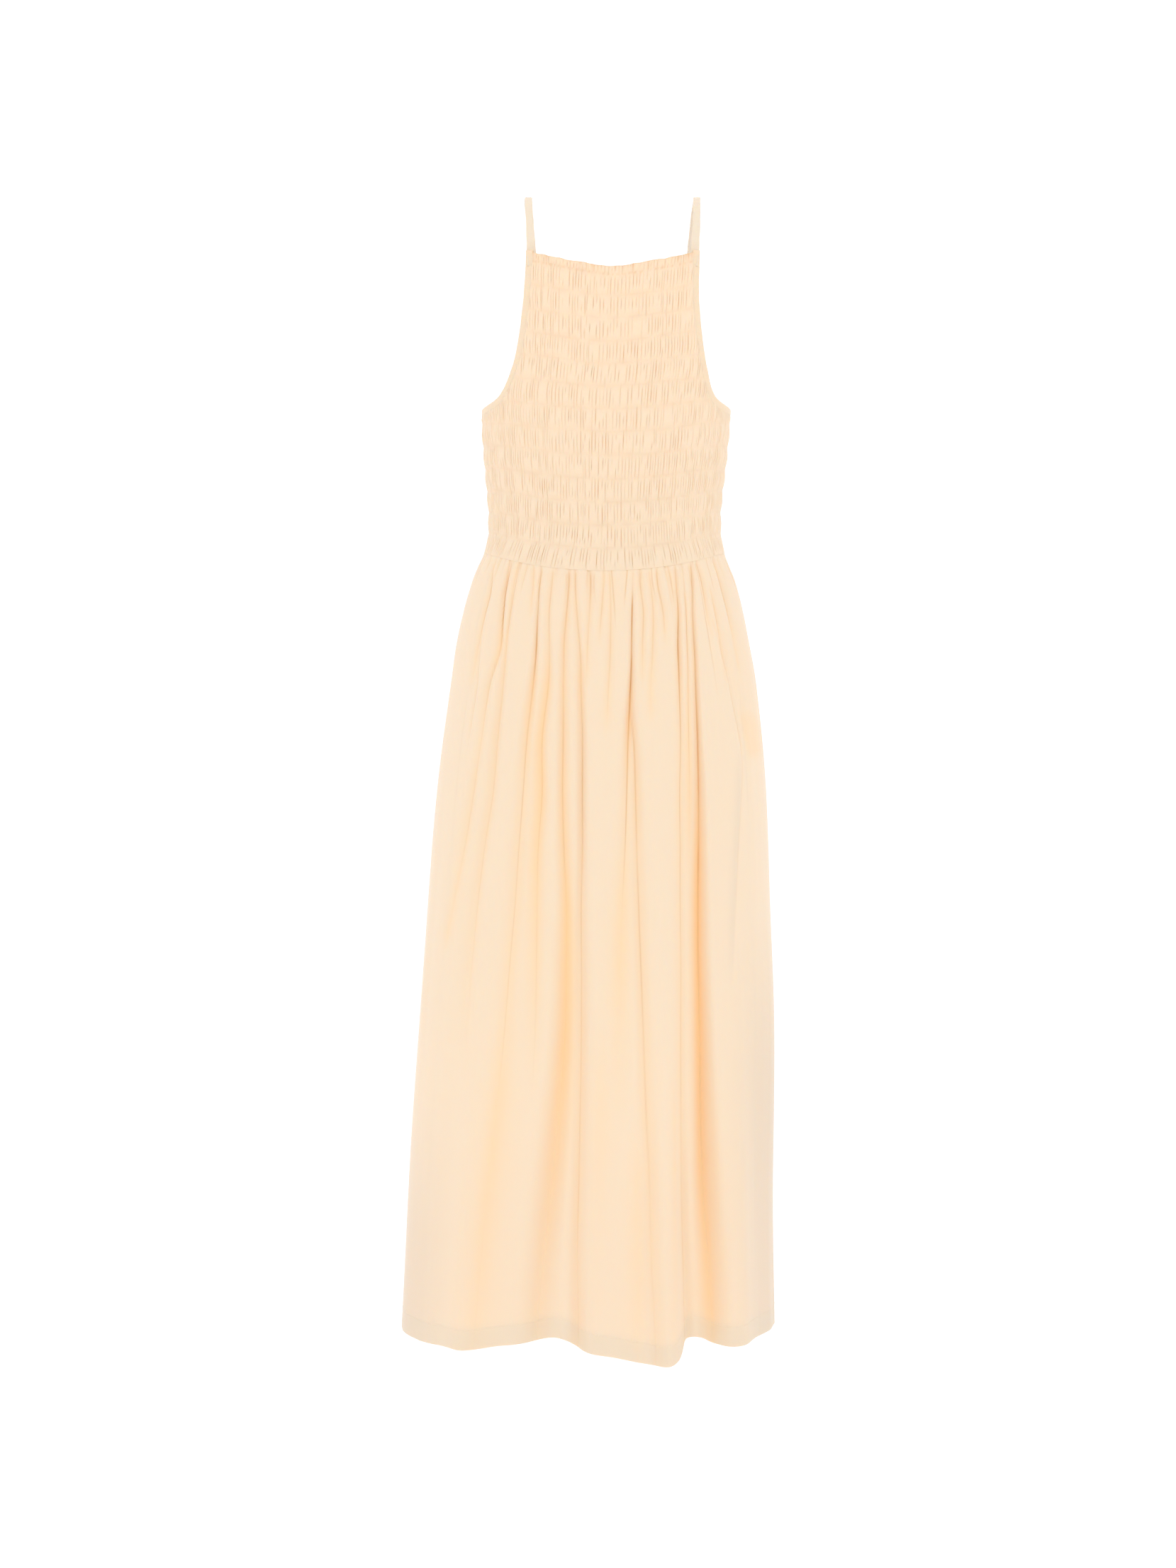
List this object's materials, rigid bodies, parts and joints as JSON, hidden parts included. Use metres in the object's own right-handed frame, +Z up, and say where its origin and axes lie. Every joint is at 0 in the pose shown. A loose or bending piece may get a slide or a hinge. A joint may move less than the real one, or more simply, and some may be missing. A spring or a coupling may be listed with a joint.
{
  "type": "smocked dress as worn",
  "caption": "Long sleeveless dress with a shirred bodice, high straight neck, narrow shoulder straps and a gathered ankle-length skirt, standing open as it is worn.",
  "frame": {"origin": "midway between the places where the two straps bear on the wearer's shoulders", "axes": "+Z up, the front of the dress faces -Y, +X is the wearer's left"},
  "size_m": [0.4247, 0.3631, 1.2957],
  "materials": {
    "cotton": "matte woven cotton"
  },
  "bodies": {
    "root": {"bodice_front": "cotton", "bodice_back": "cotton", "armhole_binding_left": "cotton", "armhole_binding_right": "cotton", "strap_left": "cotton", "strap_right": "cotton", "skirt_front": "cotton", "skirt_back": "cotton", "hem_turn_front": "cotton", "hem_turn_back": "cotton"}
  },
  "joints": []
}
